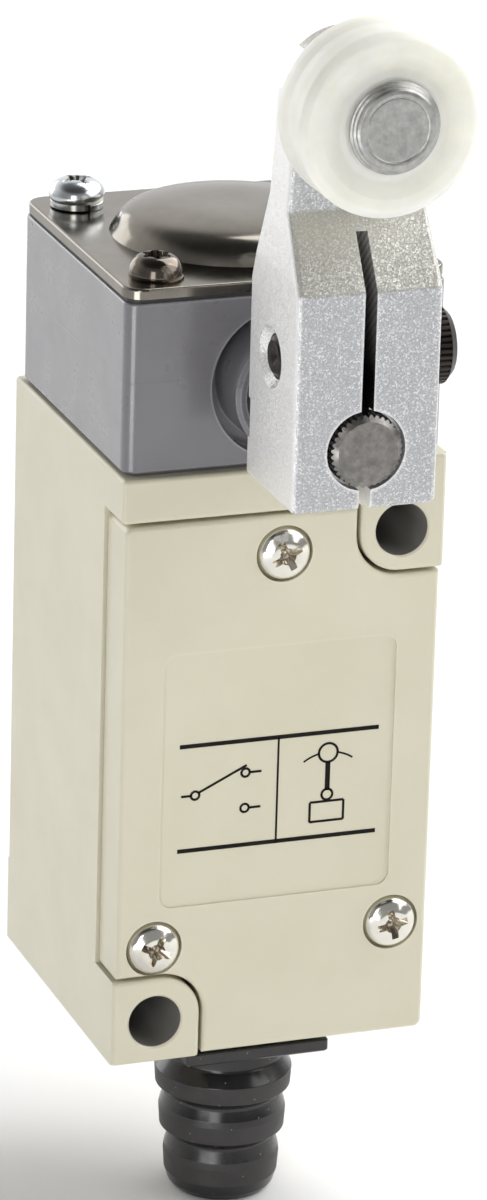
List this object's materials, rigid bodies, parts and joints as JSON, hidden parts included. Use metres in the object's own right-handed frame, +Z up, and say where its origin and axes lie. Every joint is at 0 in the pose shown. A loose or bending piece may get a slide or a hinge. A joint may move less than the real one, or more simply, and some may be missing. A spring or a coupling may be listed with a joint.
{
  "type": "limit switch",
  "caption": "Box-shaped limit switch with a clamped swing lever and nylon roller, a square metal head, screwed front cover and ribbed rubber cable grommet.",
  "frame": {"origin": "centre of the flat back mounting face of the case", "axes": "+Z up along the case towards the roller, +Y out of the back mounting face, the cover and lever face -Y"},
  "size_m": [0.032, 0.0577, 0.1252],
  "materials": {
    "case_paint": "satin warm beige enamel on a zinc die casting",
    "head_paint": "satin grey enamel on a zinc die casting",
    "dark_nickel_plate": "pressed steel with a dark nickel finish",
    "dark_screw": "dark nickel on steel",
    "zinc_screw": "bright zinc plate",
    "nickel_screw": "bright nickel plate",
    "black_screw": "black oxide on steel",
    "lever_casting": "shot-blasted aluminium die casting",
    "shaft_steel": "ground steel",
    "hardened_steel": "hardened steel",
    "spring_steel": "spring steel",
    "roller_nylon": "natural nylon, slightly translucent",
    "grommet_rubber": "black rubber with a soft gloss",
    "seal_rubber": "black nitrile rubber",
    "bearing_bronze": "sintered bronze",
    "white_plastic": "acetal",
    "switch_moulding": "dark phenolic moulding",
    "terminal_brass": "stamped brass",
    "blade_copper": "beryllium copper",
    "pin_plastic": "red phenolic"
  },
  "bodies": {
    "case": {"case": "case_paint", "cover": "case_paint", "cover_gasket": "seal_rubber", "cover_screws": "nickel_screw", "cable_grommet": "grommet_rubber", "head_gasket": "seal_rubber", "head_body": "head_paint", "plate_gasket": "seal_rubber", "head_plate": "dark_nickel_plate", "head_socket_screws": "dark_screw", "head_pan_screws": "zinc_screw", "spring_washers": "zinc_screw", "front_bearing": "bearing_bronze", "shaft_seal": "seal_rubber", "rear_bearing": "bearing_bronze", "return_spring": "spring_steel", "plunger_guide": "bearing_bronze", "plunger_seal": "seal_rubber", "switch_base": "switch_moulding", "switch_lid": "switch_moulding", "switch_screws": "nickel_screw", "common_terminal": "terminal_brass", "open_terminal": "terminal_brass", "closed_terminal": "terminal_brass", "contact_blade": "blade_copper", "terminal_screws": "zinc_screw", "ground_clamp": "zinc_screw", "ground_screw": "zinc_screw"},
    "lever": {"shaft": "shaft_steel", "cam": "hardened_steel", "cam_clip": "spring_steel", "shaft_ring": "spring_steel", "lever_arm": "lever_casting", "clamp_screw": "black_screw", "roller_pin": "shaft_steel"},
    "roller": {"roller": "roller_nylon"},
    "plunger": {"plunger": "white_plastic"},
    "switch_pin": {"switch_pin": "pin_plastic"},
    "return_plunger": {"return_plunger": "hardened_steel"}
  },
  "joints": [
    {"name": "lever_swing", "type": "hinge", "parent": "case", "child": "lever", "pos_m": [0, -0.04655, 0.0376], "axis": [0, 1, 0], "range_deg": [-75, 75], "stiffness_Nm_per_rad": 0.2},
    {"name": "roller_spin", "type": "hinge", "parent": "lever", "child": "roller", "pos_m": [0, -0.0529, 0.0686], "axis": [0, 1, 0], "continuous": true},
    {"name": "plunger_slide", "type": "slide", "parent": "case", "child": "plunger", "axis": [0, 0, -1], "range_m": [-0.0008, 0.0008]},
    {"name": "pin_slide", "type": "slide", "parent": "case", "child": "switch_pin", "axis": [0, 0, -1], "range_m": [-0.0008, 0.0008], "deforming": ["contact_blade"]},
    {"name": "return_plunger_lift", "type": "slide", "parent": "case", "child": "return_plunger", "axis": [0, 0, 1], "range_m": [0, 0.001], "stiffness_N_per_m": 400, "deforming": ["return_spring"]}
  ],
  "couplings": [
    {"joint": "plunger_slide", "follows": "lever_swing", "m_per_rad": 0.0006},
    {"joint": "pin_slide", "follows": "lever_swing", "m_per_rad": 0.0006}
  ]
}
